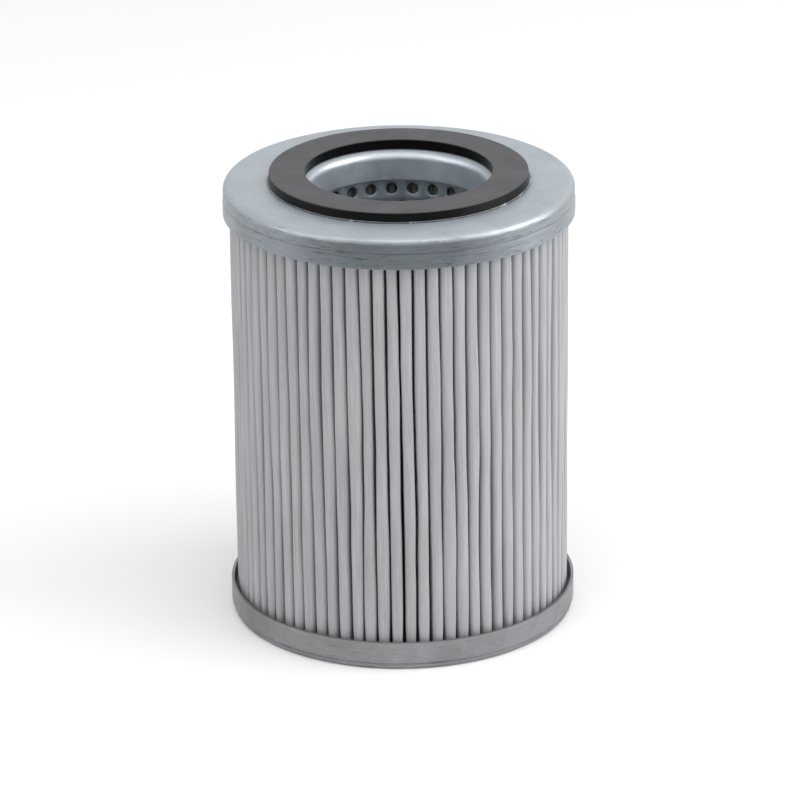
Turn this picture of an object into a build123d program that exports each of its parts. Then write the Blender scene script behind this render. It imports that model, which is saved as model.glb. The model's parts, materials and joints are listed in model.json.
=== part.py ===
"""Pleated hydraulic filter element: a folded filter pack round a perforated core tube, potted in two
pressed steel end caps, with a flat rubber gasket bonded round the outlet.

Millimetres, +Z up. The origin is the centre of the base, so the element stands on Z = 0.
"""

import os
from math import cos, radians, sin

from build123d import *

# ---- End caps, pressed from one gauge of galvanised sheet
sheet = 0.8
cap_diameter = 100.0
cap_face_height = 129.6  # base to the top cap's flat face

top_skirt_depth = 8.9
top_shoulder_radius = 2.0
draw_step = 0.15  # mark that the drawing die leaves round the skirt
draw_step_drop = 4.3  # below the flat face
outlet_diameter = 50.2
collar_depth = 8.9
collar_lip_radius = 2.6

bottom_skirt_height = 8.3
foot_inset = 0.35  # the foot steps in below the skirt
foot_height = 1.7
foot_radius = 1.0
recess_depth = 5.0  # pressed up under the boss that centres the core tube
recess_edge_radius = 1.6
recess_corner_radius = 0.8

# ---- Core tube, rolled from perforated sheet
tube_clearance = 0.1  # round the collar and the boss, per side
tube_wall = 0.9
tube_end_gap = 0.2  # kept from the bends inside both caps
hole_diameter = 3.5
holes_per_course = 27
hole_turn = 4.58  # from the back (+Y) round to the first hole, in degrees
course_pitch = 5.4
course_count = 4  # the courses near the outlet; 20 perforate the tube to its foot
first_course_drop = 11.75  # from the flat face to the first course's centres

# ---- Filter pack, one folded sheet
pleat_count = 78
skirt_gap = 1.2  # from the crowns to the caps' skirts
media_thickness = 0.8
crown_width = 3.3
crown_corner_radius = 0.95
root_gap = 0.25  # between two legs, at the bottom of their groove
core_gap = 0.3  # from the core tube to the inner folds
seam_length = 9.0  # how far the seam's adhesive reaches up its groove
seam_turn = 90.0  # from +X round to the seam's groove, in degrees

# ---- Potting resin, poured into both caps
resin_under_folds = 1.0
resin_depth = 3.5  # up the skirt
crown_clearance = 0.05  # from the crowns to the resin on the skirt

# ---- Gasket and its bond line
gasket_bore = 53.2
gasket_diameter = 73.4  # at the sealing face
gasket_draft = 0.4  # wider at the foot, per side
gasket_thickness = 2.85
gasket_edge_radius = 0.2
bond_thickness = 0.15
bond_squeeze_out = 0.5  # past the gasket's foot

# ---- What follows from the sizes above
cap_radius = cap_diameter / 2
outlet_radius = outlet_diameter / 2
tube_inner_radius = outlet_radius + sheet + tube_clearance
tube_outer_radius = tube_inner_radius + tube_wall
pack_radius = cap_radius - sheet - skirt_gap
pack_bottom = sheet + resin_under_folds
pack_top = cap_face_height - sheet - resin_under_folds
pack_height = pack_top - pack_bottom
tube_bottom = recess_edge_radius + tube_end_gap
tube_top = cap_face_height - collar_lip_radius - tube_end_gap
groove_radius = tube_outer_radius + core_gap + media_thickness
half_pleat = 180 / pleat_count
skirt_resin_radius = pack_radius + crown_clearance
gasket_seat = cap_face_height + bond_thickness
gasket_foot_radius = gasket_diameter / 2 + gasket_draft

os.makedirs("parts", exist_ok=True)


def off_ray(radius, across, turn):
    """The point at a radius along the ray turned by so many degrees from +X, and so far across it."""
    angle = radians(turn)
    return (radius * cos(angle) - across * sin(angle), radius * sin(angle) + across * cos(angle))


def top_cap_outline():
    """Skirt, shoulder, flat face and collar of the top cap, along their outer surface."""
    step_height = cap_face_height - draw_step_drop
    return FilletPolyline(
        (cap_radius, cap_face_height - top_skirt_depth),
        (cap_radius, step_height - draw_step),
        (cap_radius - draw_step, step_height),
        (cap_radius - draw_step, cap_face_height),
        (outlet_radius, cap_face_height),
        (outlet_radius, cap_face_height - collar_depth),
        radius=[0, 0, top_shoulder_radius, collar_lip_radius],
    )


def bottom_cap_outline():
    """Recess, base, foot and skirt of the bottom cap, along their outer surface."""
    recess_radius = tube_inner_radius - tube_clearance - sheet
    return FilletPolyline(
        (0, recess_depth),
        (recess_radius, recess_depth),
        (recess_radius, 0),
        (cap_radius - foot_inset, 0),
        (cap_radius - foot_inset, foot_height),
        (cap_radius, foot_height + foot_inset),
        (cap_radius, bottom_skirt_height),
        radius=[recess_corner_radius, recess_edge_radius, foot_radius, 0, 0],
    )


def cap_skin(outline):
    """The inner surface of a cap, one gauge of sheet in from its outline."""
    return offset(outline, amount=sheet, kind=Kind.INTERSECTION, side=Side.LEFT, closed=False)


def resin_reach(face_height, inward, tube_depth):
    """How far the resin rises from a cap's face: under the tube, under the folds and up the skirt."""
    with BuildSketch(Plane.XZ) as reach:
        for inner_radius, outer_radius, depth in (
            (outlet_radius, tube_outer_radius, tube_depth),
            (tube_outer_radius, skirt_resin_radius, sheet + resin_under_folds),
            (skirt_resin_radius, cap_radius, sheet + resin_depth),
        ):
            with Locations((inner_radius, face_height)):
                Rectangle(outer_radius - inner_radius, depth, align=(Align.MIN, inward))
    return reach.sketch


# ---- Top end cap: the outline, thickened by the sheet and spun
with BuildPart() as top_end_cap:
    with BuildSketch(Plane.XZ):
        with BuildLine():
            top_cap_outline()
            offset(amount=sheet, kind=Kind.INTERSECTION, side=Side.LEFT)
        make_face()
    revolve(axis=Axis.Z)
top_end_cap.part.label = "top_end_cap"
export_step(top_end_cap.part, "parts/top_end_cap.step")

# ---- Bottom end cap, closed in the middle
with BuildPart() as bottom_end_cap:
    with BuildSketch(Plane.XZ):
        with BuildLine():
            bottom_cap_outline()
            offset(amount=sheet, kind=Kind.INTERSECTION, side=Side.LEFT)
        make_face()
    revolve(axis=Axis.Z)
bottom_end_cap.part.label = "bottom_end_cap"
export_step(bottom_end_cap.part, "parts/bottom_end_cap.step")

# ---- One course of the core tube's holes, centred on its own height
with BuildPart() as course:
    with BuildSketch():
        Circle(tube_outer_radius)
        Circle(tube_inner_radius, mode=Mode.SUBTRACT)
    extrude(amount=course_pitch / 2, both=True)
    with PolarLocations(0, holes_per_course, start_angle=90 + hole_turn):
        Cylinder(
            hole_diameter / 2,
            pack_radius,
            rotation=(0, 90, 0),
            align=(Align.CENTER, Align.CENTER, Align.MIN),
            mode=Mode.SUBTRACT,
        )

# ---- Core tube: courses turned by half a hole in turn, with a plain margin at each end
first_course = cap_face_height - first_course_drop
last_course = first_course - (course_count - 1) * course_pitch
half_hole_step = 180 / holes_per_course

with BuildPart() as core_tube:
    for margin_bottom, margin_top in (
        (tube_bottom, last_course - course_pitch / 2),
        (first_course + course_pitch / 2, tube_top),
    ):
        with BuildSketch(Plane.XY.offset(margin_bottom)):
            Circle(tube_outer_radius)
            Circle(tube_inner_radius, mode=Mode.SUBTRACT)
        extrude(amount=margin_top - margin_bottom)
    courses = [
        Location((0, 0, first_course - number * course_pitch), (0, 0, number % 2 * half_hole_step))
        for number in range(course_count)
    ]
    with Locations(courses):
        add(course.part)
core_tube.part.label = "core_tube"
export_step(core_tube.part, "parts/core_tube.step")

# ---- Filter pack: one fold from groove to groove, as a strip of the sheet's thickness, all the way round
with BuildSketch() as fold:
    with BuildLine():
        FilletPolyline(
            off_ray(groove_radius, 0, -half_pleat),
            off_ray(groove_radius, root_gap / 2, -half_pleat),
            (pack_radius, -crown_width / 2),
            (pack_radius, crown_width / 2),
            off_ray(groove_radius, -root_gap / 2, half_pleat),
            off_ray(groove_radius, 0, half_pleat),
            radius=[0, crown_corner_radius, crown_corner_radius, 0],
        )
        offset(amount=media_thickness, kind=Kind.INTERSECTION, side=Side.LEFT)
    make_face()

with BuildSketch(Plane.XY.offset(pack_bottom)) as folded_sheet:
    with PolarLocations(0, pleat_count):
        add(fold.sketch)

with BuildPart() as pleated_media:
    add(folded_sheet.sketch)
    extrude(amount=pack_height)
pleated_media.part.label = "pleated_media"
export_step(pleated_media.part, "parts/pleated_media.step")

# ---- Adhesive that closes the folded sheet on itself, in the groove between its two end legs
with BuildPart() as media_seam:
    with BuildSketch(Plane.XY.offset(pack_bottom)):
        with Locations(Location(off_ray(groove_radius, 0, seam_turn), seam_turn)):
            Rectangle(
                seam_length,
                root_gap + media_thickness,
                align=(Align.MIN, Align.CENTER),
            )
        add(folded_sheet.sketch, mode=Mode.SUBTRACT)
    extrude(amount=pack_height)
media_seam.part.label = "media_seam"
export_step(media_seam.part, "parts/media_seam.step")

# ---- Potting resin: each bed lines its cap, carries the ends of the tube and the folds, and climbs the skirt
with BuildPart() as bottom_potting:
    with BuildSketch(Plane.XZ):
        with BuildLine():
            skin = cap_skin(bottom_cap_outline())
            Polyline(skin @ 0, (0, bottom_skirt_height), skin @ 1)
        make_face()
        add(resin_reach(0, Align.MIN, tube_bottom), mode=Mode.INTERSECT)
    revolve(axis=Axis.Z)
bottom_potting.part.label = "bottom_potting"
export_step(bottom_potting.part, "parts/bottom_potting.step")

with BuildPart() as top_potting:
    with BuildSketch(Plane.XZ):
        with BuildLine():
            skin = cap_skin(top_cap_outline())
            Line(skin @ 0, skin @ 1)
        make_face()
        add(resin_reach(cap_face_height, Align.MAX, cap_face_height - tube_top), mode=Mode.INTERSECT)
    revolve(axis=Axis.Z)
top_potting.part.label = "top_potting"
export_step(top_potting.part, "parts/top_potting.step")

# ---- Bond line: a film of adhesive on the cap's flat, squeezed out past the gasket's foot
with BuildPart() as gasket_bond:
    with BuildSketch(Plane.XY.offset(cap_face_height)):
        Circle(gasket_foot_radius + bond_squeeze_out)
        Circle(outlet_radius + collar_lip_radius, mode=Mode.SUBTRACT)
    extrude(amount=bond_thickness)
gasket_bond.part.label = "gasket_bond"
export_step(gasket_bond.part, "parts/gasket_bond.step")

# ---- Gasket: a flat ring with a drafted outer wall and softened sealing edges
with BuildPart() as sealing_gasket:
    with BuildSketch(Plane.XZ):
        with BuildLine():
            Polyline(
                (gasket_bore / 2, gasket_seat),
                (gasket_foot_radius, gasket_seat),
                (gasket_diameter / 2, gasket_seat + gasket_thickness),
                (gasket_bore / 2, gasket_seat + gasket_thickness),
                close=True,
            )
        make_face()
    revolve(axis=Axis.Z)
    fillet(sealing_gasket.edges().group_by(Axis.Z)[-1], gasket_edge_radius)
sealing_gasket.part.label = "sealing_gasket"
export_step(sealing_gasket.part, "parts/sealing_gasket.step")
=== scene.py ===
"""Looks of the pleated filter element: pressed galvanised caps, rubber gasket, perforated core tube and
folded media, with a pale studio round them. Lengths are metres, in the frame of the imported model."""

import json
import math

import bmesh
import bpy
from mathutils import Matrix, Vector, noise

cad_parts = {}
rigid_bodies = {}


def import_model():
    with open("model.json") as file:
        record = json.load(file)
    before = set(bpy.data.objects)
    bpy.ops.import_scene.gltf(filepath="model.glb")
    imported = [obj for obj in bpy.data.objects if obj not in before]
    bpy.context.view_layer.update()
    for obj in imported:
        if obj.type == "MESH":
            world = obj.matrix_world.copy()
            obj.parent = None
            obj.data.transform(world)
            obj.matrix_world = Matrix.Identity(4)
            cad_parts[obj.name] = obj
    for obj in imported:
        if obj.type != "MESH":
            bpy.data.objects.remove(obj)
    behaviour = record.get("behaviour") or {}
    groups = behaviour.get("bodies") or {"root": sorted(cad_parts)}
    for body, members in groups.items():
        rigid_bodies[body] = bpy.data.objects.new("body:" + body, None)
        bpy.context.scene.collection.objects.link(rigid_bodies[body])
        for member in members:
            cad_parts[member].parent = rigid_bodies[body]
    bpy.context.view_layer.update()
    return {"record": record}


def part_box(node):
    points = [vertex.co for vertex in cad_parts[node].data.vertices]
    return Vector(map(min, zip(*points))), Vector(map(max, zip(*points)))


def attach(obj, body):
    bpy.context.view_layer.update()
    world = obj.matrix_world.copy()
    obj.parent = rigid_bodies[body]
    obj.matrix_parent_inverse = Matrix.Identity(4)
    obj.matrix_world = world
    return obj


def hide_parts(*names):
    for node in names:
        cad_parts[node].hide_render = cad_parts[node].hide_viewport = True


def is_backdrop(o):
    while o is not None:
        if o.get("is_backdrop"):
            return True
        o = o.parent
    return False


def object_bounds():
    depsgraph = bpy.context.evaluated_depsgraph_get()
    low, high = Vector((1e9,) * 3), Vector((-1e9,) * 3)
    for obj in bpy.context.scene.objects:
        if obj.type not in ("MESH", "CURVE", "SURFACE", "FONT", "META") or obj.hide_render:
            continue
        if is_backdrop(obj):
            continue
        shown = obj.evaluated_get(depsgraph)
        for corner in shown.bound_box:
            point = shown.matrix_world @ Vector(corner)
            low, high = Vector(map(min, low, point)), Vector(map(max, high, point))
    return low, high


for leftover in list(bpy.data.objects):
    bpy.data.objects.remove(leftover)
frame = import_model()

bl_info = {
    "name": "Pleated Filter Element",
    "version": (1, 0, 0),
    "blender": (4, 5, 0),
    "location": "3D View > Sidebar > Filter",
    "description": "Dresses a pleated filter element in its real finishes",
    "category": "Object",
}

MM = 0.001
BODY = "root"
FULL_TURN = 2 * math.pi
ROUND_STEPS = 192  # segments of every turned piece
BEND_STEPS = 6  # segments of every rounded corner
HEIGHT_STEPS = 32  # rows of faces up the folds
END_CROWDING = 0.5  # how much closer the rows stand at the folds' ends
HOLD = 0.3 * MM  # from a bend to the edge loop that keeps the wall beyond it flat
MERGE = 0.002 * MM
CELL_EDGE = 6  # segments on each side of a hole's cell, even so that staggered rows meet
SHARP = math.radians(35)  # edges that turn by more are shaded as creases
FRONT = -math.pi / 2  # the side that faces the camera
SHEET_PLACE = "sheet_place"
CROWN_STEPS = 4  # segments of a crown's rounded edge
LONG_WALL = 4 * HOLD  # a shorter wall gets no loops beside its bends
BREAK_ANGLE = math.radians(60)  # a sheet's cut edge turns by more, and is broken

# How the folds stand unevenly: the length over which each movement changes, and its start in the noise
SWAY = (60 * MM, 3.0)
RIPPLE = (14 * MM, 11.0)
OPENING = (45 * MM, 29.0)
LIFT = (50 * MM, 47.0)
STAND = (50 * MM, 53.0)
TIP = (70 * MM, 61.0)
RIPPLE_SHARE = 0.35  # of the sway
STAND_SHARE = 0.5  # of the lift
LIFT_LIMIT = 0.9  # of the lift
END_FREEDOM = 0.45  # how much the potted ends move, against the middle
FRONT_REACH = math.radians(11)  # to each side of the front, where the grooves stand wider
NOISE_STRIDE = 7.3  # from one fold's noise to the next's

# Adhesive squeezed out round the gasket
BEAD = 0.35 * MM  # its width beside the gasket, and its height over the film
BEAD_TOP = 0.05 * MM  # from the gasket's wall to the bead's crest
BEAD_LAP = 0.3 * MM  # how far the bead's inner slope reaches into the gasket
BEAD_ROUNDING = 0.2 * MM
CREEP = 0.3 * MM  # how far the bead spreads unevenly, over patches of the size below
CREEP_SIZE = 7 * MM
CREEP_LIMIT = 0.2 * MM

# Where a finish changes: from and to, counted outwards or upwards from an edge of the part
BORE_CHANGE = (0.8 * MM, 0.2 * MM)
COLLAR_FOOT_CHANGE = (-2.0 * MM, -1.0 * MM)
SKIRT_CHANGE = (-1.2 * MM, -0.4 * MM)
SHOULDER_CHANGE = (-0.8 * MM, -2.2 * MM)
# where the painted shade along a crease lies
CREASE_FROM_BELOW = (-0.32 * MM, -0.12 * MM)
CREASE_FROM_ABOVE = (0.2 * MM, 0.0)
GASKET_FACE_CHANGE = (-0.35 * MM, -0.12 * MM)
# where the painted shade deep in the folds ends
CORE_SIDE_CHANGE = (0.5 * MM, 4.0 * MM)

# How much a finish changes there
CLOUDING = 0.08  # tone of the zinc's clouds, for a wear of 1
SCRATCH_DARKENING = 0.5  # for a wear of 1
RUB_LIGHTENING = 0.25  # for a wear of 1
MARK_THRESHOLD = 0.56  # noise above this is a scratch or a rub
# painted shade along a crease
CREASE_PAINTED_SHADE = 0.5
OUTLET_METAL = 0.75
POLISH = 0.14  # roughness that handling takes off
BLOOM_DULLNESS = 0.26  # roughness that the bloom adds to the gasket's face
# painted shade deep in the folds beside the core
CORE_SIDE_PAINTED_SHADE = 0.22
FIBRE_SCALE = (1800.0, 45.0, 1.0)  # across the folds and along them
MOTTLE_SCALE = (90.0, 25.0, 1.0)


def mount(name):
    """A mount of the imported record."""
    return next(m for m in frame["record"]["mounts"] if m["name"] == name)


def outer_radius(node):
    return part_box(node)[1].x


def low(node):
    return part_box(node)[0].z


def high(node):
    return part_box(node)[1].z


# ---------------- sizes and finishes


class ElementSizes(bpy.types.PropertyGroup):
    """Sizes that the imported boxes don't give."""

    sheet: bpy.props.FloatProperty(
        name="Sheet", description="Thickness of the caps' sheet", default=0.8 * MM, unit="LENGTH"
    )
    shoulder_radius: bpy.props.FloatProperty(
        name="Shoulder radius", description="Top cap's outer bend", default=2.0 * MM, unit="LENGTH"
    )
    lip_radius: bpy.props.FloatProperty(
        name="Lip radius", description="Bend of the outlet's lip", default=2.6 * MM, unit="LENGTH"
    )
    draw_step: bpy.props.FloatProperty(
        name="Draw step", description="Step that the die leaves round the skirt", default=0.15 * MM,
        unit="LENGTH",
    )
    draw_run: bpy.props.FloatProperty(
        name="Draw run", description="Height over which the step runs out", default=0.85 * MM, unit="LENGTH"
    )
    draw_step_drop: bpy.props.FloatProperty(
        name="Draw step drop", description="From the top face to the step", default=4.3 * MM, unit="LENGTH"
    )
    foot_height: bpy.props.FloatProperty(
        name="Foot height", description="Height of the bottom cap's inset foot", default=1.7 * MM,
        unit="LENGTH",
    )
    foot_inset: bpy.props.FloatProperty(
        name="Foot inset", description="How far the foot steps in", default=0.35 * MM, unit="LENGTH"
    )
    foot_radius: bpy.props.FloatProperty(
        name="Foot radius", description="Bend under the foot", default=1.0 * MM, unit="LENGTH"
    )
    recess_depth: bpy.props.FloatProperty(
        name="Recess depth", description="Recess under the bottom cap", default=5.0 * MM, unit="LENGTH"
    )
    gasket_draft: bpy.props.FloatProperty(
        name="Gasket draft", description="Gasket's extra radius at its foot", default=0.4 * MM, unit="LENGTH"
    )
    gasket_bore: bpy.props.FloatProperty(
        name="Gasket bore radius", description="Radius of the gasket's bore", default=26.6 * MM, unit="LENGTH"
    )


class CoreSettings(bpy.types.PropertyGroup):
    """The perforated core tube."""

    wall: bpy.props.FloatProperty(
        name="Wall", description="Thickness of the tube's sheet", default=0.9 * MM, unit="LENGTH"
    )
    hole: bpy.props.FloatProperty(
        name="Hole", description="Diameter of a hole", default=3.5 * MM, unit="LENGTH"
    )
    holes: bpy.props.IntProperty(name="Holes", description="Holes in a course", default=27, min=3)
    courses: bpy.props.IntProperty(name="Courses", description="Courses of holes", default=20, min=1)
    course_pitch: bpy.props.FloatProperty(
        name="Course pitch", description="From one course to the next", default=5.4 * MM, unit="LENGTH"
    )
    first_course: bpy.props.FloatProperty(
        name="First course", description="Top face to the first course", default=11.75 * MM, unit="LENGTH"
    )
    turn: bpy.props.FloatProperty(
        name="Turn", description="Where the first hole lies", default=math.radians(94.58), subtype="ANGLE"
    )


class FoldSettings(bpy.types.PropertyGroup):
    """The folded sheet and how unevenly it stands."""

    count: bpy.props.IntProperty(name="Folds", description="Number of folds", default=78, min=3)
    thickness: bpy.props.FloatProperty(
        name="Media thickness", description="Thickness of the sheet", default=0.8 * MM, unit="LENGTH"
    )
    crown_width: bpy.props.FloatProperty(
        name="Crown width", description="Width of a fold's outer face", default=3.3 * MM, unit="LENGTH"
    )
    crown_radius: bpy.props.FloatProperty(
        name="Crown radius", description="Rounding of a crown's two edges", default=1.15 * MM, unit="LENGTH"
    )
    core_gap: bpy.props.FloatProperty(
        name="Core gap", description="Clearance round the core tube", default=0.3 * MM, unit="LENGTH"
    )
    root_gap: bpy.props.FloatProperty(
        name="Root gap", description="Groove's width at its bottom", default=0.25 * MM, unit="LENGTH"
    )
    wander: bpy.props.FloatProperty(
        name="Wander", description="How far a groove strays sideways", default=0.32 * MM, unit="LENGTH"
    )
    neck: bpy.props.FloatProperty(
        name="Neck", description="From the crown in to where the flank runs straight", default=3.0 * MM,
        unit="LENGTH",
    )
    front_opening: bpy.props.FloatProperty(
        name="Front opening", description="How much wider the grooves at the front are", default=0.1 * MM,
        unit="LENGTH",
    )
    gap_change: bpy.props.FloatProperty(
        name="Gap change", description="How far a groove opens and closes", default=0.42 * MM, unit="LENGTH"
    )
    pinch: bpy.props.FloatProperty(
        name="Pinch", description="How much wider the grooves are at the bottom cap's rim", default=0.35 * MM,
        unit="LENGTH",
    )
    pinch_height: bpy.props.FloatProperty(
        name="Pinch height", description="Height over which the pinch fades", default=3.0 * MM, unit="LENGTH"
    )
    crown_lift: bpy.props.FloatProperty(
        name="Crown lift", description="How far a crown stands in or out", default=0.2 * MM, unit="LENGTH"
    )
    tilt: bpy.props.FloatProperty(
        name="Tilt", description="How far a crown's edges stand in and out", default=0.16 * MM, unit="LENGTH"
    )
    lean: bpy.props.FloatProperty(
        name="Lean", description="Turn of the folds from top to bottom", default=math.radians(1.0),
        subtype="ANGLE",
    )


class Finishes(bpy.types.PropertyGroup):
    """Base colours."""

    zinc: bpy.props.FloatVectorProperty(
        name="Zinc", description="Galvanised top cap", default=(0.38, 0.42, 0.455), size=3, subtype="COLOR"
    )
    dull_zinc: bpy.props.FloatVectorProperty(
        name="Dull zinc", description="Bottom cap", default=(0.385, 0.39, 0.405), size=3, subtype="COLOR"
    )
    # Partly painted light: a lighter zinc in the outlet stands partly for light falling into the bore
    clean_zinc_and_painted_light: bpy.props.FloatVectorProperty(
        name="Clean zinc and painted light", description="Caps inside the outlet", default=(0.7, 0.76, 0.82), size=3,
        subtype="COLOR",
    )
    patina_metal: bpy.props.FloatProperty(
        name="Patina metal", description="How metallic the dull faces are", default=0.5, min=0, max=1,
        subtype="FACTOR",
    )
    skirt_metal: bpy.props.FloatProperty(
        name="Skirt metal", description="How metallic the skirts are", default=0.85, min=0, max=1,
        subtype="FACTOR",
    )
    # Painted shade: the skirts' colour is darkened against the faces
    skirt_painted_shade: bpy.props.FloatProperty(
        name="Skirt tone", description="Skirts' brightness against the faces", default=0.69, min=0
    )
    core: bpy.props.FloatVectorProperty(
        name="Core steel", description="Perforated tube", default=(0.5, 0.56, 0.6), size=3, subtype="COLOR"
    )
    rubber: bpy.props.FloatVectorProperty(
        name="Rubber", description="Gasket", default=(0.004, 0.0036, 0.0042), size=3, subtype="COLOR"
    )
    # Partly painted sheen: the sealing face's grey stands partly for its reflection of the light above,
    # partly for real bloom
    bloom_and_sheen: bpy.props.FloatVectorProperty(
        name="Bloom", description="Gasket's sealing face", default=(0.084, 0.083, 0.088), size=3,
        subtype="COLOR",
    )
    media: bpy.props.FloatVectorProperty(
        name="Media", description="Fibre sheet", default=(0.395, 0.395, 0.43), size=3, subtype="COLOR"
    )
    aged_media: bpy.props.FloatVectorProperty(
        name="Aged media", description="Fibre sheet where it has yellowed a little",
        default=(0.385, 0.395, 0.4), size=3, subtype="COLOR",
    )
    resin: bpy.props.FloatVectorProperty(
        name="Resin", description="Potting resin", default=(0.17, 0.17, 0.18), size=3, subtype="COLOR"
    )
    adhesive: bpy.props.FloatVectorProperty(
        name="Adhesive", description="Wet adhesive under the gasket", default=(0.1, 0.11, 0.12), size=3,
        subtype="COLOR",
    )
    # Painted highlights: white spots in the adhesive's colour stand for glints
    adhesive_painted_glints: bpy.props.FloatVectorProperty(
        name="Adhesive glints", description="Its painted white glints", default=(0.6, 0.62, 0.64), size=3,
        subtype="COLOR",
    )
    glue: bpy.props.FloatVectorProperty(
        name="Glue", description="Seam glue", default=(0.55, 0.53, 0.46), size=3, subtype="COLOR"
    )


class StudioSettings(bpy.types.PropertyGroup):
    """Camera and lamps."""

    elevation: bpy.props.FloatProperty(
        name="Elevation", description="Camera above the horizon", default=math.radians(21.98), subtype="ANGLE"
    )
    roll: bpy.props.FloatProperty(
        name="Roll", description="Camera's roll", default=math.radians(-0.567), subtype="ANGLE"
    )
    distance: bpy.props.FloatProperty(
        name="Distance", description="Camera to its aim", default=1.3017, unit="LENGTH"
    )
    aim_drop: bpy.props.FloatProperty(
        name="Aim drop", description="Aim below the middle of the element", default=4.0 * MM, unit="LENGTH"
    )
    aim_left: bpy.props.FloatProperty(
        name="Aim left", description="Aim left of the axis", default=0.26 * MM, unit="LENGTH"
    )
    lens: bpy.props.FloatProperty(name="Lens", description="Focal length in mm", default=203.16)
    ambient: bpy.props.FloatProperty(name="Ambient", description="Light from all round", default=0.45)
    overhead: bpy.props.FloatProperty(name="Overhead", description="Lamp above, in watts", default=15.0)
    shoulder_strip: bpy.props.FloatProperty(
        name="Shoulder strip", description="Long lamp that the top cap's shoulder mirrors", default=3.0
    )
    right_window: bpy.props.FloatProperty(name="Right window", description="Lamp at the right", default=10.0)
    left_fill: bpy.props.FloatProperty(name="Left fill", description="Lamp at the left", default=2.5)
    paper: bpy.props.FloatVectorProperty(
        name="Paper", description="Floor", default=(0.97, 0.97, 0.97), size=3, subtype="COLOR"
    )
    card: bpy.props.FloatVectorProperty(
        name="Card", description="Dark card that polished metal sees", default=(0.3, 0.3, 0.31), size=3,
        subtype="COLOR",
    )
    card_tilt: bpy.props.FloatProperty(
        name="Card tilt", description="Slope of the card", default=math.radians(20), subtype="ANGLE"
    )


# ---------------- mesh helpers


def settings(name):
    return getattr(bpy.context.scene, name)


def new_piece(name, bm, material, slot, *nodes):
    """Makes a bmesh a finished piece on the element's body, standing for its CAD nodes."""
    mesh = bpy.data.meshes.new(name)
    bm.to_mesh(mesh)
    bm.free()
    mesh.shade_smooth()
    mesh.materials.append(material)
    piece = bpy.data.objects.new(name, mesh)
    bpy.context.scene.collection.objects.link(piece)
    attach(piece, BODY)
    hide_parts(*nodes)
    return piece


def section(bm, corners, closed=True):
    """A section in the XZ plane through (radius, height, rounding) corners; returns its edges."""
    verts = [bm.verts.new((radius, 0, height)) for radius, height, _ in corners]
    bm.faces.new(verts)
    for vert, (_, _, rounding) in zip(verts, corners):
        if rounding:
            round_corner(bm, vert, rounding, BEND_STEPS)
    bmesh.ops.delete(bm, geom=bm.faces[:], context="FACES_ONLY")
    if not closed:
        bm.edges.remove(bm.edges.get((verts[0], verts[-1])))
    for edge in bm.edges[:]:
        if edge.calc_length() > LONG_WALL:
            for vert in edge.verts[:]:
                bmesh.utils.edge_split(edge, vert, HOLD / edge.calc_length())
    return bm.edges[:]


def round_corner(bm, vert, radius, steps):
    bmesh.ops.bevel(
        bm,
        geom=[vert],
        offset=radius,
        offset_type="OFFSET",
        segments=steps,
        profile=0.5,
        affect="VERTICES",
        material=-1,
    )


def turned(corners, closed=True):
    """Spins a section a full turn about Z and closes its poles; returns its bmesh."""
    bm = bmesh.new()
    edges = section(bm, corners, closed)
    bmesh.ops.spin(
        bm,
        geom=bm.verts[:] + edges,
        axis=(0, 0, 1),
        angle=FULL_TURN,
        steps=ROUND_STEPS,
        use_merge=True,
    )
    bmesh.ops.remove_doubles(bm, verts=bm.verts[:], dist=MERGE)
    bmesh.ops.recalc_face_normals(bm, faces=bm.faces[:])
    return bm


def unsettle(bm, amount, size, seed):
    """Pushes a surface in and out along its normals by a little smooth noise, and never below the floor."""
    bm.normal_update()
    for vert in bm.verts:
        vert.co += vert.normal * amount * noise.noise(vert.co / size + Vector((seed, seed, seed)))
        vert.co.z = max(vert.co.z, 0)


def run_along(bm, offset, steps, copies=True):
    """Repeats all geometry in a straight row, or draws it out along it."""
    bmesh.ops.spin(
        bm,
        geom=bm.verts[:] + bm.edges[:] + bm.faces[:],
        axis=(0, 0, 1),
        dvec=offset,
        angle=0,
        steps=steps,
        use_duplicate=copies,
    )


def copy_round(bm, count):
    """Repeats all geometry round the axis and joins the copies."""
    bmesh.ops.spin(
        bm,
        geom=bm.verts[:] + bm.edges[:],
        axis=(0, 0, 1),
        angle=FULL_TURN,
        steps=count,
        use_duplicate=True,
    )
    bmesh.ops.remove_doubles(bm, verts=bm.verts[:], dist=MERGE)


def fold_strip(bm, folds, crown, groove):
    """Section of one fold about the X axis, from one groove's middle to the next."""
    half_step = math.pi / folds.count
    along, aside = math.cos(half_step), math.sin(half_step)
    root = (groove * along + folds.root_gap / 2 * aside, groove * aside - folds.root_gap / 2 * along)
    crown_half = folds.crown_width / 2
    neck = crown - folds.neck
    neck_half = root[1] + (crown_half - root[1]) * (neck - root[0]) / (crown - root[0])
    half = [(groove * along, groove * aside), root, (neck, neck_half), (crown, crown_half)]
    points = [(x, -y) for x, y in half] + [(x, y) for x, y in reversed(half)]
    verts = [bm.verts.new((x, y, 0)) for x, y in points]
    bm.faces.new(verts)
    for vert in verts[len(half) - 1 : len(half) + 1]:
        round_corner(bm, vert, folds.crown_radius, CROWN_STEPS)
    bmesh.ops.delete(bm, geom=bm.faces[:], context="FACES_ONLY")
    bm.edges.remove(bm.edges.get((verts[0], verts[-1])))


def fold_place(spot, step):
    """Nearest fold's number, the angle off its middle, and the groove on that side."""
    heading = math.atan2(spot.y, spot.x)
    fold = round(heading / step)
    off = heading - fold * step
    return fold, off, fold if off > 0 else fold - 1


def sheet_place(spot, step, crown):
    """A place in the flat sheet: along the folding, and along the folds."""
    fold, off, _ = fold_place(spot, step)
    radius = math.hypot(spot.x, spot.y)
    side = math.copysign(1, off)
    along = 2 * fold * crown + side * (crown - radius * math.cos(off)) + radius * math.sin(off)
    return Vector((along, spot.z, 0))


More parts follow.
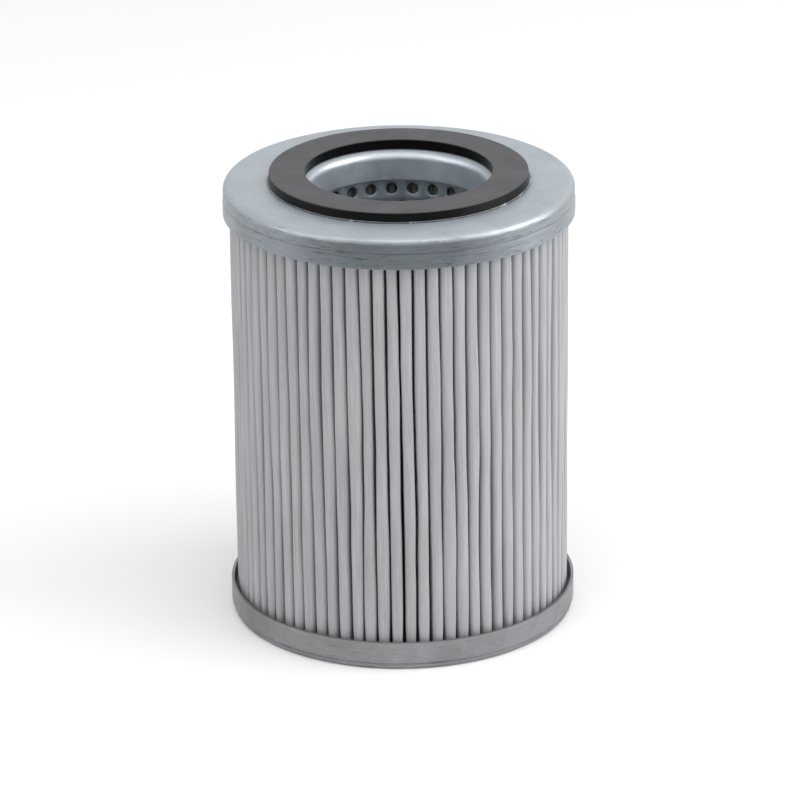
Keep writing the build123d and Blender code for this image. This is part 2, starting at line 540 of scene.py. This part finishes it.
def wobble(number, height, length, seed):
    """Smooth noise of -1 to 1 up a numbered fold or groove."""
    return 2 * noise.noise(Vector((NOISE_STRIDE * number + seed, height / length, seed)))


def crowd_ends(spot, bottom, top):
    """Moves a row of points towards the nearer end of the folds."""
    rise = (spot.z - bottom) / (top - bottom)
    shift = END_CROWDING * math.sin(FULL_TURN * rise) / FULL_TURN
    return Vector((spot.x, spot.y, spot.z - shift * (top - bottom)))


def settle(spot, folds, crown, groove, bottom, top, rim, walls=True):
    """Moves a point of the even pack to where the uneven pack has it.

    Grooves sway, open and widen at the bottom cap's rim; crowns lift and tip. Without walls, the point
    only follows its groove.
    """
    step = FULL_TURN / folds.count
    fold, off, gap = fold_place(spot, step)
    fold %= folds.count
    gap %= folds.count
    radius = math.hypot(spot.x, spot.y)
    outward = max(0.0, (radius - groove) / (crown - groove))
    rise = (spot.z - bottom) / (top - bottom)
    free = END_FREEDOM + (1 - END_FREEDOM) * math.sin(math.pi * rise)
    sway = folds.wander * (wobble(gap, spot.z, *SWAY) + RIPPLE_SHARE * wobble(gap, spot.z, *RIPPLE))
    opening = folds.gap_change * wobble(gap, spot.z, *OPENING)
    heading = (gap + 0.5) * step
    from_front = (heading - FRONT + math.pi) % FULL_TURN - math.pi
    opening += folds.front_opening * math.exp(-((from_front / FRONT_REACH) ** 2))
    spread = off * radius / (folds.crown_width / 2)
    squeeze = spread if walls else 0
    above_rim = max(0.0, spot.z - rim)
    pinch = folds.pinch * math.exp(-above_rim / folds.pinch_height)
    aside = outward * (free * (sway - squeeze * opening / 2) - squeeze * pinch / 2)
    lift = outward * free * folds.crown_lift * wobble(fold, spot.z, *LIFT)
    lift += outward * free * folds.tilt * spread * wobble(fold, spot.z, *TIP)
    lift += outward * folds.crown_lift * STAND_SHARE * wobble(fold, 0, *STAND)
    turned = math.atan2(spot.y, spot.x) + aside / max(radius, groove) + folds.lean * (0.5 - rise)
    radius += min(lift, LIFT_LIMIT * folds.crown_lift)
    return Vector((radius * math.cos(turned), radius * math.sin(turned), spot.z))


def thicken(piece, thickness):
    """Gives a surface the thickness of its sheet, inwards."""
    wall = piece.modifiers.new("sheet", "SOLIDIFY")
    wall.thickness = thickness
    wall.offset = -1
    wall.use_even_offset = True


def give_sheet(piece, thickness, edge):
    """Thickens a pressed surface and breaks the sheet's cut edges."""
    thicken(piece, thickness)
    softened = piece.modifiers.new("cut_edge", "BEVEL")
    softened.width = edge
    softened.segments = 2
    softened.limit_method = "ANGLE"
    softened.angle_limit = BREAK_ANGLE


# ---------------- material helpers


def fill(tree, node, inputs):
    """Gives a node's inputs their values, or links them to other nodes' outputs."""
    for key, value in inputs.items():
        if isinstance(value, bpy.types.NodeSocket):
            tree.links.new(value, node.inputs[key])
        else:
            node.inputs[key].default_value = value


def add_node(tree, kind, inputs=None, **attributes):
    """Adds a node with its settings and inputs."""
    made = tree.nodes.new(kind)
    for name, value in attributes.items():
        setattr(made, name, value)
    fill(tree, made, inputs or {})
    return made


def computed(tree, operation, first, second):
    """The result of an operation on two values."""
    return add_node(tree, "ShaderNodeMath", {0: first, 1: second}, operation=operation).outputs[0]


def product(tree, first, second):
    return computed(tree, "MULTIPLY", first, second)


def joined(tree, operation, first, second):
    """The result of an operation on two vectors."""
    return add_node(tree, "ShaderNodeVectorMath", {0: first, 1: second}, operation=operation).outputs[0]


def scaled(tree, vector, factor):
    """A vector or colour made larger or smaller, lighter or darker."""
    inputs = {0: vector, "Scale": factor}
    return add_node(tree, "ShaderNodeVectorMath", inputs, operation="SCALE").outputs[0]


def ranged(tree, value, low, high):
    """A value of 0 to 1 spread between a low and a high one."""
    return add_node(tree, "ShaderNodeMapRange", {"Value": value, "To Min": low, "To Max": high}).outputs[0]


def masked(tree, value, start, end):
    """A mask that rises from 0 to 1 as a value goes from start to end."""
    inputs = {"Value": value, "From Min": start, "From Max": end}
    return add_node(tree, "ShaderNodeMapRange", inputs).outputs[0]


def beside(tree, value, edge, change):
    """A mask that goes from 0 to 1 over the given change beside an edge."""
    start, end = change
    return masked(tree, value, edge + start, edge + end)


def mixed(tree, mask, first, second):
    """Two colours mixed by a mask."""
    made = add_node(tree, "ShaderNodeMix", {"Factor": mask}, data_type="RGBA")
    for socket, value in ((made.inputs[6], first), (made.inputs[7], second)):
        if isinstance(value, bpy.types.NodeSocket):
            tree.links.new(value, socket)
        else:
            socket.default_value = (*value, 1)
    return made.outputs[2]


def bumped(tree, strength, depth, height):
    """Normals of a fine relief."""
    inputs = {"Strength": strength, "Distance": depth, "Height": height}
    return add_node(tree, "ShaderNodeBump", inputs).outputs[0]


def grained(tree, place, scale):
    """Even fine noise."""
    inputs = {"Vector": place, "Scale": scale, "Detail": 2.0}
    return add_node(tree, "ShaderNodeTexNoise", inputs).outputs["Fac"]


def object_place(tree):
    return add_node(tree, "ShaderNodeTexCoord").outputs["Object"]


def new_material(name):
    """A material with its Principled shader; returns it, its tree and the shader."""
    material = bpy.data.materials.new(name)
    material.use_nodes = True
    return material, material.node_tree, material.node_tree.nodes["Principled BSDF"]


# ---------------- shared effects


def new_group(name, inputs, outputs):
    """A shader node group with named sockets: (name, kind, default) in and (name, kind) out."""
    group = bpy.data.node_groups.new(name, "ShaderNodeTree")
    for socket, kind, default in inputs:
        made = group.interface.new_socket(socket, in_out="INPUT", socket_type=kind)
        if default is not None:
            made.default_value = default
    for socket, kind in outputs:
        group.interface.new_socket(socket, in_out="OUTPUT", socket_type=kind)
    source = group.nodes.new("NodeGroupInput")
    result = group.nodes.new("NodeGroupOutput")
    return group, source.outputs, result


def use_group(tree, name, inputs):
    """Places a node group in a material with its own values."""
    return add_node(tree, "ShaderNodeGroup", inputs, node_tree=bpy.data.node_groups[name]).outputs


def round_place_group():
    """A place on a turned piece: a seamless way round and across, the radius and the height."""
    group, given, result = new_group(
        "round_place",
        [
            ("Position", "NodeSocketVector", None),
            ("Around", "NodeSocketFloat", 1.0),
            ("Across", "NodeSocketFloat", 1.0),
        ],
        [("Place", "NodeSocketVector"), ("Radius", "NodeSocketFloat"), ("Height", "NodeSocketFloat")],
    )
    flat = joined(group, "MULTIPLY", given["Position"], (1, 1, 0))
    radius = add_node(group, "ShaderNodeVectorMath", {0: flat}, operation="LENGTH").outputs["Value"]
    heading = add_node(group, "ShaderNodeVectorMath", {0: flat}, operation="NORMALIZE").outputs[0]
    height = add_node(group, "ShaderNodeSeparateXYZ", {0: given["Position"]}).outputs["Z"]
    across = product(group, computed(group, "SUBTRACT", height, radius), given["Across"])
    lifted = add_node(group, "ShaderNodeCombineXYZ", {"Z": across}).outputs[0]
    place = joined(group, "ADD", scaled(group, heading, given["Around"]), lifted)
    fill(group, result, {"Place": place, "Radius": radius, "Height": height})


def round_place(tree, position, around=1.0, across=1.0):
    """A turned piece's place with a scale round and one across, its radius and its height."""
    inputs = {"Position": position, "Around": around, "Across": across}
    return use_group(tree, "round_place", inputs)


def blotches_group():
    """Soft uneven patches between a low and a high value."""
    group, given, result = new_group(
        "blotches",
        [
            ("Position", "NodeSocketVector", None),
            ("Scale", "NodeSocketFloat", 100.0),
            ("Detail", "NodeSocketFloat", 4.0),
            ("Low", "NodeSocketFloat", 0.0),
            ("High", "NodeSocketFloat", 1.0),
        ],
        [("Value", "NodeSocketFloat")],
    )
    patches = add_node(
        group,
        "ShaderNodeTexNoise",
        {"Vector": given["Position"], "Scale": given["Scale"], "Detail": given["Detail"], "Roughness": 0.6},
    )
    spread = masked(group, patches.outputs["Fac"], start=0.3, end=0.7)
    fill(group, result, {"Value": ranged(group, spread, given["Low"], given["High"])})


def blotched(tree, place, scale, low, high, detail=4.0):
    inputs = {"Position": place, "Scale": scale, "Detail": detail, "Low": low, "High": high}
    return use_group(tree, "blotches", inputs)["Value"]


def scuffs_group():
    """Sparse marks: the peaks of a noise, cut off below a threshold."""
    group, given, result = new_group(
        "scuffs",
        [
            ("Place", "NodeSocketVector", None),
            ("Scale", "NodeSocketFloat", 10.0),
            ("Threshold", "NodeSocketFloat", 0.6),
            ("Softness", "NodeSocketFloat", 0.08),
        ],
        [("Mask", "NodeSocketFloat")],
    )
    marks = add_node(
        group,
        "ShaderNodeTexNoise",
        {"Vector": given["Place"], "Scale": given["Scale"], "Detail": 5.0, "Roughness": 0.65},
    )
    full = computed(group, "ADD", given["Threshold"], given["Softness"])
    fill(group, result, {"Mask": masked(group, marks.outputs["Fac"], given["Threshold"], full)})


def scuffed(tree, place, threshold, softness, scale=1.0):
    inputs = {"Place": place, "Scale": scale, "Threshold": threshold, "Softness": softness}
    return use_group(tree, "scuffs", inputs)["Mask"]


# ---------------- finishes of the pieces


def zinc_steel(name, color, roughness, wear, crease):
    """Galvanised sheet: cloudy patina, clean zinc with painted light in the outlet, worn and scuffed round
    the skirt, with painted shade on the skirt's wall.

    A broken line of painted shade darkens the crease at the given height. Wear makes the marks
    stronger and the clouds fainter.
    """
    finishes = settings("finishes")
    material, tree, shader = new_material(name)
    position = object_place(tree)
    place = round_place(tree, position, around=3.0, across=5200.0)
    radius, height = place["Radius"], place["Height"]
    in_bore = beside(tree, radius, mount("outlet")["dims"]["r_mm"] * MM, BORE_CHANGE)
    in_outlet = product(tree, in_bore, beside(tree, height, low("top_end_cap"), COLLAR_FOOT_CHANGE))
    on_skirt = beside(tree, radius, outer_radius("top_end_cap"), SKIRT_CHANGE)
    on_wall = product(tree, on_skirt, beside(tree, height, high("top_end_cap"), SHOULDER_CHANGE))

    clouding = CLOUDING / wear
    clouds = blotched(tree, position, scale=70.0, low=1.02 - clouding, high=0.97 + clouding)
    rings = blotched(tree, place["Place"], scale=1.0, low=0.95, high=1.04, detail=2.0)
    # Painted light: the bore gets a lighter colour, partly for bare clean zinc, partly for light falling into
    # it.
    sheet = mixed(tree, in_outlet, color, finishes.clean_zinc_and_painted_light)
    sheet = scaled(tree, sheet, product(tree, clouds, rings))
    # Painted shade: the skirt below the shoulder is coloured darker than the face.
    sheet = mixed(tree, on_wall, sheet, scaled(tree, sheet, finishes.skirt_painted_shade))

    long_marks = round_place(tree, position, around=7.0, across=1900.0)["Place"]
    short_marks = round_place(tree, position, around=16.0, across=700.0)["Place"]
    scratches = scuffed(tree, long_marks, MARK_THRESHOLD, softness=0.08)
    rubs = scuffed(tree, short_marks, MARK_THRESHOLD, softness=0.12)
    darker = scaled(tree, sheet, 1 - SCRATCH_DARKENING * wear)
    sheet = mixed(tree, product(tree, scratches, on_skirt), sheet, darker)
    lighter = scaled(tree, sheet, 1 + RUB_LIGHTENING * wear)
    sheet = mixed(tree, product(tree, rubs, on_skirt), sheet, lighter)
    # Painted shade: a broken dark line along the crease, where the step's shade falls.
    below = beside(tree, height, crease, CREASE_FROM_BELOW)
    above = beside(tree, height, crease, CREASE_FROM_ABOVE)
    broken = product(tree, blotched(tree, long_marks, scale=0.5, low=0.2, high=1.0), on_skirt)
    line = product(tree, product(tree, below, above), broken)
    sheet = mixed(tree, line, sheet, scaled(tree, sheet, CREASE_PAINTED_SHADE))

    bare = ranged(tree, on_skirt, finishes.patina_metal, finishes.skirt_metal)
    grain = blotched(tree, position, scale=240.0, low=roughness + 0.06, high=roughness + 0.18)
    polish = product(tree, computed(tree, "MAXIMUM", on_skirt, in_outlet), POLISH)
    relief = computed(tree, "SUBTRACT", rings, scratches)
    fill(
        tree,
        shader,
        {
            "Base Color": sheet,
            "Metallic": computed(tree, "MAXIMUM", bare, product(tree, in_outlet, OUTLET_METAL)),
            "Roughness": computed(tree, "SUBTRACT", grain, polish),
            "Normal": bumped(tree, strength=0.25 * wear, depth=0.03 * MM, height=relief),
        },
    )
    return material


def satin_rubber():
    """Gasket rubber: glossy black on its walls, greyed on its sealing face by bloom and dust and by a painted
    sheen.
    """
    finishes = settings("finishes")
    material, tree, shader = new_material("satin_rubber")
    position = object_place(tree)
    height = add_node(tree, "ShaderNodeSeparateXYZ", {0: position}).outputs["Z"]
    on_face = beside(tree, height, high("sealing_gasket"), GASKET_FACE_CHANGE)
    dust = blotched(tree, position, scale=120.0, low=0.9, high=1.12)
    # Painted sheen on the sealing face, together with real bloom and dust.
    bloom_and_sheen = scaled(tree, finishes.bloom_and_sheen, dust)
    sheen = blotched(tree, position, scale=90.0, low=0.28, high=0.36)
    grain = grained(tree, position, scale=5000.0)
    fill(
        tree,
        shader,
        {
            "Base Color": mixed(tree, on_face, finishes.rubber, bloom_and_sheen),
            "Roughness": computed(tree, "ADD", sheen, product(tree, on_face, BLOOM_DULLNESS)),
            "Normal": bumped(tree, strength=0.2, depth=0.02 * MM, height=grain),
            "Specular IOR Level": 0.14,
        },
    )
    return material


def clear_adhesive():
    """Thin glossy adhesive squeezed out under the gasket, with painted white glints in spots."""
    finishes = settings("finishes")
    material, tree, shader = new_material("clear_adhesive")
    position = object_place(tree)
    tone = blotched(tree, position, scale=300.0, low=0.7, high=1.2)
    wet = scaled(tree, finishes.adhesive, tone)
    ripples = grained(tree, position, scale=900.0)
    # Painted glints: white spots in the colour stand for highlights on the adhesive bead.
    spots = scuffed(tree, position, threshold=0.6, softness=0.1, scale=130.0)
    fill(
        tree,
        shader,
        {
            "Base Color": mixed(tree, spots, wet, finishes.adhesive_painted_glints),
            "Roughness": 0.12,
            "Normal": bumped(tree, strength=0.4, depth=0.05 * MM, height=ripples),
        },
    )
    return material


def mottled(name, color, tone, gloss, metallic=0.0):
    """A finish uneven in tone and gloss, each given as a scale, its lowest and its highest value."""
    material, tree, shader = new_material(name)
    position = object_place(tree)
    fill(
        tree,
        shader,
        {
            "Base Color": scaled(tree, color, blotched(tree, position, *tone)),
            "Roughness": blotched(tree, position, *gloss),
            "Metallic": metallic,
        },
    )
    return material


def fibre_media():
    """Nonwoven sheet: fibres along the folds, a soft mottle, aged patches, painted shade beside the core."""
    finishes = settings("finishes")
    material, tree, shader = new_material("fibre_media")
    place = add_node(tree, "ShaderNodeAttribute", attribute_name=SHEET_PLACE).outputs["Vector"]
    fibre_place = joined(tree, "MULTIPLY", place, FIBRE_SCALE)
    mottle_place = joined(tree, "MULTIPLY", place, MOTTLE_SCALE)
    fibres = blotched(tree, fibre_place, scale=1.0, low=0.85, high=1.12, detail=3.0)
    mottle = blotched(tree, mottle_place, scale=1.0, low=0.92, high=1.07, detail=3.0)
    aged = blotched(tree, mottle_place, scale=0.8, low=0.0, high=1.0, detail=2.0)
    sheet = mixed(tree, aged, finishes.media, finishes.aged_media)
    sheet = scaled(tree, sheet, product(tree, fibres, mottle))
    # Painted shade: the sheet darkens towards the core, deep in the folds where little light reaches.
    radius = round_place(tree, object_place(tree))["Radius"]
    open_side = beside(tree, radius, outer_radius("core_tube"), CORE_SIDE_CHANGE)
    shaded = scaled(tree, sheet, CORE_SIDE_PAINTED_SHADE)
    fill(
        tree,
        shader,
        {
            "Base Color": mixed(tree, open_side, shaded, sheet),
            "Roughness": blotched(tree, fibre_place, scale=1.0, low=0.78, high=0.95),
            "Normal": bumped(tree, strength=0.6, depth=0.15 * MM, height=fibres),
        },
    )
    return material


# ---------------- studio


def stage_sheet(name, middle, half_width, half_depth, tilt, color):
    """A flat sheet of paper that isn't part of the element."""
    bm = bmesh.new()
    bmesh.ops.create_grid(bm, x_segments=1, y_segments=1, size=1)
    bmesh.ops.scale(bm, vec=(half_width, half_depth, 1), verts=bm.verts[:])
    bmesh.ops.rotate(bm, matrix=Matrix.Rotation(tilt, 3, "X"), verts=bm.verts[:])
    bmesh.ops.translate(bm, vec=middle, verts=bm.verts[:])
    mesh = bpy.data.meshes.new(name)
    bm.to_mesh(mesh)
    bm.free()
    sheet = bpy.data.objects.new(name, mesh)
    bpy.context.scene.collection.objects.link(sheet)
    sheet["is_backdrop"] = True
    material, tree, shader = new_material(name)
    fill(tree, shader, {"Base Color": (*color, 1), "Roughness": 0.9, "Specular IOR Level": 0.1})
    mesh.materials.append(material)
    return sheet


def light_world(studio):
    """White wherever the camera or a reflection looks, and a dimmer light from all round on matt surfaces."""
    world = bpy.data.worlds.new("studio")
    bpy.context.scene.world = world
    world.use_nodes = True
    tree = world.node_tree
    ray = add_node(tree, "ShaderNodeLightPath")
    seen = computed(tree, "MAXIMUM", ray.outputs["Is Camera Ray"], ray.outputs["Is Glossy Ray"])
    seen = computed(tree, "MAXIMUM", seen, ray.outputs["Is Transmission Ray"])
    strength = ranged(tree, seen, studio.ambient, 1.0)
    fill(tree, tree.nodes["Background"], {"Color": (1, 1, 1, 1), "Strength": strength})


def hang_lamp(name, aim, place, size, power):
    """A square soft lamp turned to the element."""
    data = bpy.data.lights.new(name, "AREA")
    data.energy = power
    data.size = size
    lamp = bpy.data.objects.new(name, data)
    bpy.context.scene.collection.objects.link(lamp)
    lamp.rotation_mode = "QUATERNION"
    lamp.location = place
    lamp.rotation_quaternion = (Vector(place) - aim).to_track_quat("Z", "Y")
    return lamp


# ---------------- pieces


class FILTER_OT_end_caps(bpy.types.Operator):
    """Press both end caps from galvanised sheet"""

    bl_idname = "filter_element.end_caps"
    bl_label = "End caps"

    def execute(self, context):
        sizes = settings("element_sizes")
        finishes = settings("finishes")
        outer, face, rim = outer_radius("top_end_cap"), high("top_end_cap"), low("top_end_cap")
        outlet = mount("outlet")["dims"]["r_mm"] * MM
        step = face - sizes.draw_step_drop
        bm = turned(
            [
                (outer, rim, 0),
                (outer, step - sizes.draw_run, 0),
                (outer - sizes.draw_step, step, 0),
                (outer - sizes.draw_step, face, sizes.shoulder_radius),
                (outlet, face, sizes.lip_radius),
                (outlet, rim, 0),
            ],
            closed=False,
        )
        unsettle(bm, amount=0.05 * MM, size=16 * MM, seed=1.0)
        zinc = zinc_steel("top_zinc", finishes.zinc, roughness=0.38, wear=0.75, crease=step)
        top = new_piece("top_cap", bm, zinc, "cap_steel", "top_end_cap")
        top.data.set_sharp_from_angle(angle=SHARP)
        give_sheet(top, sizes.sheet, edge=0.12 * MM)

        outer, rim = outer_radius("bottom_end_cap"), high("bottom_end_cap")
        recess = outlet
        foot = outer - sizes.foot_inset
        bm = turned(
            [
                (0, sizes.recess_depth, 0),
                (recess, sizes.recess_depth, sizes.sheet),
                (recess, 0, 2 * sizes.sheet),
                (foot, 0, sizes.foot_radius),
                (foot, sizes.foot_height, 0),
                (outer, sizes.foot_height + sizes.foot_inset, 0),
                (outer, rim, 0),
            ],
            closed=False,
        )
        unsettle(bm, amount=0.05 * MM, size=16 * MM, seed=5.0)
        color = finishes.dull_zinc
        dull = zinc_steel("bottom_zinc", color, roughness=0.5, wear=0.45, crease=sizes.foot_height)
        bottom = new_piece("bottom_cap", bm, dull, "cap_steel", "bottom_end_cap")
        bottom.data.set_sharp_from_angle(angle=SHARP)
        give_sheet(bottom, sizes.sheet, edge=0.12 * MM)
        return {"FINISHED"}


class FILTER_OT_gasket(bpy.types.Operator):
    """Lay the rubber gasket in its adhesive"""

    bl_idname = "filter_element.gasket"
    bl_label = "Gasket"

    def execute(self, context):
        sizes = settings("element_sizes")
        foot, seat, top = outer_radius("sealing_gasket"), low("sealing_gasket"), high("sealing_gasket")
        rounding = 0.2 * MM
        bm = turned(
            [
                (sizes.gasket_bore, seat, 0),
                (foot, seat, 0),
                (foot - sizes.gasket_draft, top, rounding),
                (sizes.gasket_bore, top, rounding),
            ],
        )
        unsettle(bm, amount=0.06 * MM, size=12 * MM, seed=9.0)
        gasket = new_piece("gasket", bm, satin_rubber(), "gasket", "sealing_gasket")
        gasket.data.set_sharp_from_angle(angle=SHARP)

        face, film = low("gasket_bond"), high("gasket_bond")
        inner = mount("outlet")["dims"]["r_mm"] * MM + sizes.lip_radius
        bm = turned(
            [
                (inner, face, 0),
                (foot + BEAD, face, 0),
                (foot + BEAD_TOP, film + BEAD, BEAD_ROUNDING),
                (foot - BEAD_LAP, film + BEAD_LAP, 0),
                (foot - 2 * BEAD_LAP, film, 0),
                (inner, film, 0),
            ],
        )
        for vert in bm.verts:
            flat = Vector((vert.co.x, vert.co.y, 0))
            if flat.length > foot - CREEP_LIMIT:
                spread = CREEP * noise.noise(flat / CREEP_SIZE)
                vert.co += flat.normalized() * min(spread, CREEP_LIMIT)
        new_piece("gasket_adhesive", bm, clear_adhesive(), "bond", "gasket_bond")
        return {"FINISHED"}


class FILTER_OT_core_tube(bpy.types.Operator):
    """Punch a flat sheet with staggered holes and roll it into the core tube"""

    bl_idname = "filter_element.core_tube"
    bl_label = "Core tube"

    def execute(self, context):
        core = settings("core")
        radius = outer_radius("core_tube")
        bottom, top = low("core_tube"), high("core_tube")
        pitch = FULL_TURN * radius / core.holes
        first = high("top_end_cap") - core.first_course
        bm = bmesh.new()
        size = Matrix.Diagonal((pitch, core.course_pitch, 1, 1))
        bmesh.ops.create_grid(bm, x_segments=CELL_EDGE, y_segments=CELL_EDGE, size=0.5, matrix=size)
        inside = [vert for vert in bm.verts if not vert.is_boundary]
        bmesh.ops.delete(bm, geom=inside, context="VERTS")
        bmesh.ops.create_circle(bm, segments=4 * CELL_EDGE, radius=core.hole / 2)
        bmesh.ops.bridge_loops(bm, edges=bm.edges[:])
        bmesh.ops.translate(bm, verts=bm.verts[:], vec=(radius * core.turn, first, 0))
        run_along(bm, (pitch, 0, 0), core.holes - 1)
        run_along(bm, (pitch / 2, -core.course_pitch, 0), core.courses - 1)
        bmesh.ops.remove_doubles(bm, verts=bm.verts[:], dist=MERGE)
        last = first - (core.courses - 1) * core.course_pitch
        plain_ends = ((first + core.course_pitch / 2, top), (last - core.course_pitch / 2, bottom))
        for edge_height, end in plain_ends:
            edges = [
                edge for edge in bm.edges if all(abs(vert.co.y - edge_height) < MERGE for vert in edge.verts)
            ]
            raised = bmesh.ops.extrude_edge_only(bm, edges=edges)["geom"]
            verts = [item for item in raised if isinstance(item, bmesh.types.BMVert)]
            bmesh.ops.translate(bm, verts=verts, vec=(0, end - edge_height, 0))
        for vert in bm.verts:
            turn = vert.co.x / radius
            vert.co = (radius * math.cos(turn), radius * math.sin(turn), vert.co.y)
        bmesh.ops.remove_doubles(bm, verts=bm.verts[:], dist=MERGE)
        bmesh.ops.recalc_face_normals(bm, faces=bm.faces[:])
        color = settings("finishes").core
        tone, gloss = (160.0, 0.8, 1.15), (500.0, 0.38, 0.55)
        steel = mottled("dull_steel", color, tone, gloss, metallic=0.9)
        tube = new_piece("perforated_core", bm, steel, "core_steel", "core_tube")
        give_sheet(tube, core.wall, edge=0.1 * MM)
        return {"FINISHED"}


class FILTER_OT_filter_pack(bpy.types.Operator):
    """Fold the filter sheet round the core and close its seam"""

    bl_idname = "filter_element.filter_pack"
    bl_label = "Filter pack"

    def execute(self, context):
        folds = settings("folds")
        step = FULL_TURN / folds.count
        crown = outer_radius("pleated_media")
        bottom, top = low("pleated_media"), high("pleated_media")
        groove = outer_radius("core_tube") + folds.core_gap + folds.thickness
        rim = high("bottom_end_cap")
        bm = bmesh.new()
        fold_strip(bm, folds, crown, groove)
        copy_round(bm, folds.count)
        rise = (top - bottom) / HEIGHT_STEPS
        bmesh.ops.translate(bm, verts=bm.verts[:], vec=(0, 0, bottom))
        run_along(bm, (0, 0, rise), HEIGHT_STEPS, copies=False)
        bmesh.ops.recalc_face_normals(bm, faces=bm.faces[:])
        place = bm.verts.layers.float_vector.new(SHEET_PLACE)
        for vert in bm.verts:
            vert.co = crowd_ends(vert.co, bottom, top)
            vert[place] = sheet_place(vert.co, step, crown)
            vert.co = settle(vert.co, folds, crown, groove, bottom, top, rim)
        media = new_piece("folded_media", bm, fibre_media(), "media", "pleated_media")
        thicken(media, folds.thickness)

        lo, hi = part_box("media_seam")
        bm = bmesh.new()
        bmesh.ops.create_grid(bm, x_segments=1, y_segments=4, size=0.5)
        width, depth = hi.x - lo.x, hi.y - lo.y
        bmesh.ops.scale(bm, vec=(width, depth, 1), verts=bm.verts[:])
        bmesh.ops.translate(bm, vec=((lo.x + hi.x) / 2, (lo.y + hi.y) / 2, lo.z), verts=bm.verts[:])
        run_along(bm, (0, 0, (hi.z - lo.z) / HEIGHT_STEPS), HEIGHT_STEPS, copies=False)
        bmesh.ops.recalc_face_normals(bm, faces=bm.faces[:])
        for vert in bm.verts:
            vert.co = settle(vert.co, folds, crown, groove, bottom, top, rim, walls=False)
        color = settings("finishes").glue
        glue = mottled("seam_glue", color, tone=(260.0, 0.85, 1.1), gloss=(500.0, 0.3, 0.45))
        new_piece("seam_glue", bm, glue, "seam_adhesive", "media_seam")
        return {"FINISHED"}


class FILTER_OT_potting(bpy.types.Operator):
    """Give both resin beds their finish"""

    bl_idname = "filter_element.potting"
    bl_label = "Potting"

    def execute(self, context):
        color = settings("finishes").resin
        resin = mottled("potting_resin", color, tone=(220.0, 0.85, 1.15), gloss=(400.0, 0.4, 0.6))
        for node in ("top_potting", "bottom_potting"):
            for holder in bpy.data.objects[node].material_slots:
                holder.material = resin
        return {"FINISHED"}


class FILTER_OT_studio(bpy.types.Operator):
    """Set up the floor, the lamps and the camera"""

    bl_idname = "filter_element.studio"
    bl_label = "Studio"

    def execute(self, context):
        studio = settings("studio")
        context.scene.view_settings.view_transform = "Standard"
        stage_sheet("floor", (0, 0, 0), half_width=3.0, half_depth=3.0, tilt=0, color=studio.paper)
        card = stage_sheet(
            "dark_card",
            (0, -0.6, 0.16),
            half_width=0.5,
            half_depth=0.45,
            tilt=-studio.card_tilt,
            color=studio.card,
        )
        card.visible_camera = False
        card.visible_diffuse = False
        card.visible_shadow = False
        light_world(studio)

        lo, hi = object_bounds()
        aim = Vector((-studio.aim_left, 0, (lo.z + hi.z) / 2 - studio.aim_drop))
        overhead = hang_lamp("overhead", aim, (0, -0.1, 1.5), size=2.5, power=studio.overhead)
        overhead.visible_glossy = False
        strip = hang_lamp(
            "shoulder_strip", aim, (0, -0.45, 1.1), size=1.6, power=studio.shoulder_strip
        )
        strip.data.shape = "RECTANGLE"
        strip.data.size_y = 0.25
        hang_lamp("right_window", aim, (1.15, -0.15, 0.55), size=1.1, power=studio.right_window)
        hang_lamp("left_fill", aim, (-1.2, -0.45, 0.6), size=0.9, power=studio.left_fill)

        data = bpy.data.cameras.new("camera")
        camera = bpy.data.objects.new("camera", data)
        context.scene.collection.objects.link(camera)
        context.scene.camera = camera
        data.lens = studio.lens
        data.sensor_width = 36
        data.clip_end = 20
        tilt = Matrix.Rotation(math.pi / 2 - studio.elevation, 4, "X")
        roll = Matrix.Rotation(studio.roll, 4, "Z")
        back = Matrix.Translation((0, 0, studio.distance))
        camera.matrix_world = Matrix.Translation(aim) @ tilt @ roll @ back
        return {"FINISHED"}


OPERATORS = (
    FILTER_OT_end_caps,
    FILTER_OT_gasket,
    FILTER_OT_core_tube,
    FILTER_OT_filter_pack,
    FILTER_OT_potting,
    FILTER_OT_studio,
)


class FILTER_PT_panel(bpy.types.Panel):
    """Every step of dressing the element"""

    bl_label = "Pleated filter element"
    bl_space_type = "VIEW_3D"
    bl_region_type = "UI"
    bl_category = "Filter"

    def draw(self, context):
        for operator in OPERATORS:
            self.layout.operator(operator.bl_idname)


PROPERTY_GROUPS = {
    "element_sizes": ElementSizes,
    "core": CoreSettings,
    "folds": FoldSettings,
    "finishes": Finishes,
    "studio": StudioSettings,
}


def register():
    for name, group in PROPERTY_GROUPS.items():
        bpy.utils.register_class(group)
        setattr(bpy.types.Scene, name, bpy.props.PointerProperty(type=group))
    for operator in OPERATORS:
        bpy.utils.register_class(operator)
    bpy.utils.register_class(FILTER_PT_panel)


def unregister():
    bpy.utils.unregister_class(FILTER_PT_panel)
    for operator in reversed(OPERATORS):
        bpy.utils.unregister_class(operator)
    for name, group in PROPERTY_GROUPS.items():
        delattr(bpy.types.Scene, name)
        bpy.utils.unregister_class(group)


def main():
    register()
    for group in (round_place_group, blotches_group, scuffs_group):
        group()
    for operator in OPERATORS:
        category, name = operator.bl_idname.split(".")
        getattr(getattr(bpy.ops, category), name)()


if __name__ == "__main__":
    main()
